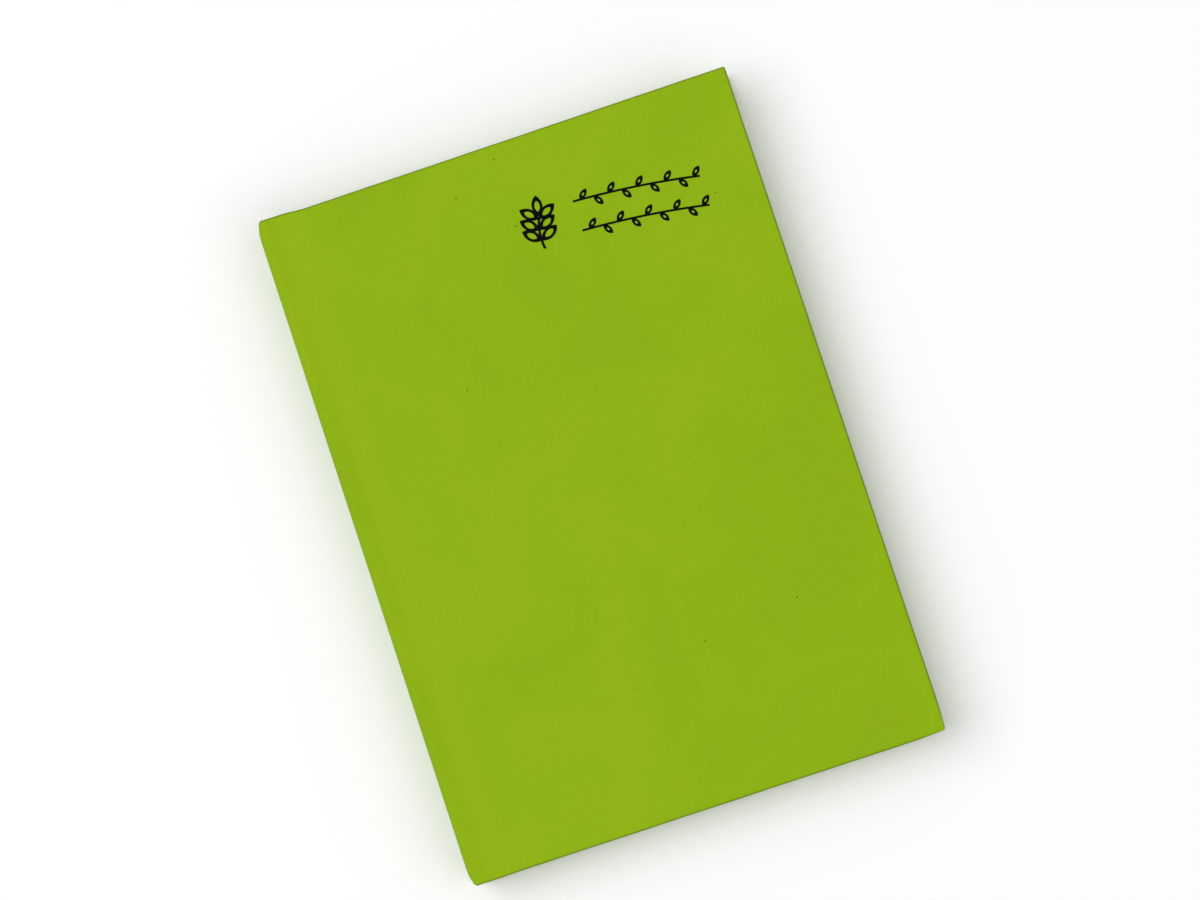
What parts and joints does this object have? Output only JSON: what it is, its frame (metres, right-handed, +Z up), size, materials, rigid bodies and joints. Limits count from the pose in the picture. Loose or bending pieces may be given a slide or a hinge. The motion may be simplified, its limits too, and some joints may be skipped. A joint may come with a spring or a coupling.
{
  "type": "pocket notebook",
  "caption": "Closed pocket notebook with a lime green cloth-covered hard case, soft joint grooves, sewn pages and a small printed ornament.",
  "frame": {"origin": "middle of the underside, on the surface that the closed notebook lies on", "axes": "+Z up through the front cover, +Y towards the head, +X from the spine to the fore edge"},
  "size_m": [0.1054, 0.1484, 0.014],
  "materials": {
    "cover_cloth": "matte fine-grained coated cloth",
    "board": "grey-brown binder's board",
    "endpaper": "matte heavy paper",
    "page": "matte cream paper",
    "liner_paper": "brown kraft paper",
    "mull": "open-weave gauze",
    "thread": "waxed linen thread",
    "band": "woven band",
    "ink": "matte black print"
  },
  "bodies": {
    "text_block": {"spine_board": "board", "spine_cloth": "cover_cloth", "spine_liner": "liner_paper", "mull": "mull", "sewing_thread": "thread", "headband": "band", "tailband": "band", "front_endpaper_guard": "endpaper", "back_endpaper_guard": "endpaper", "section_1": "page", "section_2": "page", "section_3": "page", "section_4": "page", "section_5": "page", "section_6": "page"},
    "front_cover": {"front_board": "board", "front_cloth": "cover_cloth", "front_mull_flap": "mull", "front_pastedown": "endpaper", "sprig_print": "ink", "vine_print": "ink"},
    "front_joint": {"front_joint_cloth": "cover_cloth"},
    "front_flyleaf": {"front_flyleaf": "endpaper"},
    "leaf_1": {"leaf_1": "page"},
    "leaf_2": {"leaf_2": "page"},
    "leaf_3": {"leaf_3": "page"},
    "leaf_4": {"leaf_4": "page"},
    "leaf_5": {"leaf_5": "page"},
    "leaf_6": {"leaf_6": "page"},
    "back_cover": {"back_board": "board", "back_cloth": "cover_cloth", "back_mull_flap": "mull", "back_pastedown": "endpaper"},
    "back_joint": {"back_joint_cloth": "cover_cloth"},
    "back_flyleaf": {"back_flyleaf": "endpaper"},
    "last_leaf_1": {"last_leaf_1": "page"},
    "last_leaf_2": {"last_leaf_2": "page"}
  },
  "joints": [
    {"name": "front_cover_hinge", "type": "hinge", "parent": "text_block", "child": "front_cover", "pos_m": [-0.04835, 0, 0.01303], "axis": [0, -1, 0], "range_deg": [0, 179]},
    {"name": "front_joint_bend", "type": "hinge", "parent": "text_block", "child": "front_joint", "pos_m": [-0.04835, 0, 0.01303], "axis": [0, -1, 0], "range_deg": [0, 90]},
    {"name": "front_flyleaf_turn", "type": "hinge", "parent": "text_block", "child": "front_flyleaf", "pos_m": [-0.04835, 0, 0.01303], "axis": [0, -1, 0], "range_deg": [0, 176.5]},
    {"name": "leaf_1_turn", "type": "hinge", "parent": "text_block", "child": "leaf_1", "pos_m": [-0.04835, 0, 0.01303], "axis": [0, -1, 0], "range_deg": [0, 174.5]},
    {"name": "leaf_2_turn", "type": "hinge", "parent": "text_block", "child": "leaf_2", "pos_m": [-0.04835, 0, 0.01303], "axis": [0, -1, 0], "range_deg": [0, 174.5]},
    {"name": "leaf_3_turn", "type": "hinge", "parent": "text_block", "child": "leaf_3", "pos_m": [-0.04835, 0, 0.01303], "axis": [0, -1, 0], "range_deg": [0, 174.5]},
    {"name": "leaf_4_turn", "type": "hinge", "parent": "text_block", "child": "leaf_4", "pos_m": [-0.04835, 0, 0.01303], "axis": [0, -1, 0], "range_deg": [0, 174.5]},
    {"name": "leaf_5_turn", "type": "hinge", "parent": "text_block", "child": "leaf_5", "pos_m": [-0.04835, 0, 0.01303], "axis": [0, -1, 0], "range_deg": [0, 174.5]},
    {"name": "leaf_6_turn", "type": "hinge", "parent": "text_block", "child": "leaf_6", "pos_m": [-0.04835, 0, 0.01303], "axis": [0, -1, 0], "range_deg": [0, 174.5]},
    {"name": "back_cover_hinge", "type": "hinge", "parent": "text_block", "child": "back_cover", "pos_m": [-0.04835, 0, 0.00095], "axis": [0, 1, 0], "range_deg": [0, 179]},
    {"name": "back_joint_bend", "type": "hinge", "parent": "text_block", "child": "back_joint", "pos_m": [-0.04835, 0, 0.00095], "axis": [0, 1, 0], "range_deg": [0, 90]},
    {"name": "back_flyleaf_turn", "type": "hinge", "parent": "text_block", "child": "back_flyleaf", "pos_m": [-0.04835, 0, 0.00095], "axis": [0, 1, 0], "range_deg": [0, 176.5]},
    {"name": "last_leaf_1_turn", "type": "hinge", "parent": "text_block", "child": "last_leaf_1", "pos_m": [-0.04835, 0, 0.00095], "axis": [0, 1, 0], "range_deg": [0, 174.5]},
    {"name": "last_leaf_2_turn", "type": "hinge", "parent": "text_block", "child": "last_leaf_2", "pos_m": [-0.04835, 0, 0.00095], "axis": [0, 1, 0], "range_deg": [0, 174.5]}
  ],
  "couplings": [
    {"joint": "front_joint_bend", "follows": "front_cover_hinge", "ratio": 0.5},
    {"joint": "front_flyleaf_turn", "follows": "front_cover_hinge", "ratio": 0.985},
    {"joint": "leaf_1_turn", "follows": "front_cover_hinge", "ratio": 0.97},
    {"joint": "leaf_2_turn", "follows": "front_cover_hinge", "ratio": 0.95},
    {"joint": "leaf_3_turn", "follows": "front_cover_hinge", "ratio": 0.925},
    {"joint": "leaf_4_turn", "follows": "front_cover_hinge", "ratio": 0.16},
    {"joint": "leaf_5_turn", "follows": "front_cover_hinge", "ratio": 0.085},
    {"joint": "leaf_6_turn", "follows": "front_cover_hinge", "ratio": 0.03},
    {"joint": "back_joint_bend", "follows": "back_cover_hinge", "ratio": 0.5},
    {"joint": "back_flyleaf_turn", "follows": "back_cover_hinge", "ratio": 0.985},
    {"joint": "last_leaf_1_turn", "follows": "back_cover_hinge", "ratio": 0.965},
    {"joint": "last_leaf_2_turn", "follows": "back_cover_hinge", "ratio": 0.04}
  ]
}
